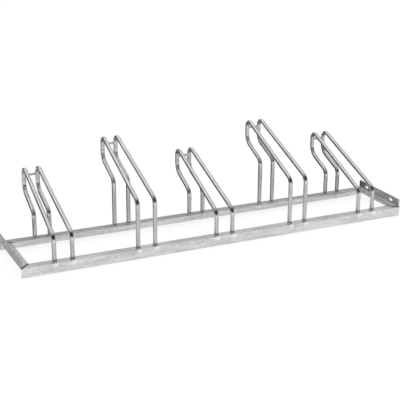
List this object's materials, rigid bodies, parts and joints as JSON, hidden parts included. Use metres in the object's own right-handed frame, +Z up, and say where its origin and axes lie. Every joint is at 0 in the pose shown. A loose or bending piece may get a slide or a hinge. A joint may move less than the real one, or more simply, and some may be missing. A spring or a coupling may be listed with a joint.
{
  "type": "floor bike rack",
  "caption": "Long low galvanised steel rack that stands on the floor and grips bicycle front wheels between paired bent tube hoops, set alternately low and high on an angle-steel frame.",
  "frame": {"origin": "on the floor, midway between the two end bars, and midway between the front rail's outer face and the rearmost point of the hoops", "axes": "+X along the rack to the right as seen from the front, +Y from the front rail to the rear rail, +Z up"},
  "size_m": [1.75, 0.4467, 0.4027],
  "materials": {
    "angle_steel": "rolled steel angle, hot-dip galvanised, satin zinc",
    "hoop_tube": "round steel tube, hot-dip galvanised, bright zinc",
    "tie_rod": "round steel bar, hot-dip galvanised, satin zinc",
    "weld": "weld bead under zinc, dull"
  },
  "bodies": {
    "root": {"front_rail": "angle_steel", "rear_rail": "angle_steel", "left_end_bar": "angle_steel", "right_end_bar": "angle_steel", "hoop_1_left": "hoop_tube", "hoop_1_right": "hoop_tube", "hoop_2_left": "hoop_tube", "hoop_2_right": "hoop_tube", "hoop_3_left": "hoop_tube", "hoop_3_right": "hoop_tube", "hoop_4_left": "hoop_tube", "hoop_4_right": "hoop_tube", "hoop_5_left": "hoop_tube", "hoop_5_right": "hoop_tube", "tie_rod_1": "tie_rod", "tie_rod_2": "tie_rod", "tie_rod_3": "tie_rod", "tie_rod_4": "tie_rod", "tie_rod_5": "tie_rod", "foot_welds_1": "weld", "foot_welds_2": "weld", "foot_welds_3": "weld", "foot_welds_4": "weld", "foot_welds_5": "weld", "tie_rod_welds": "weld", "corner_welds": "weld"}
  },
  "joints": []
}
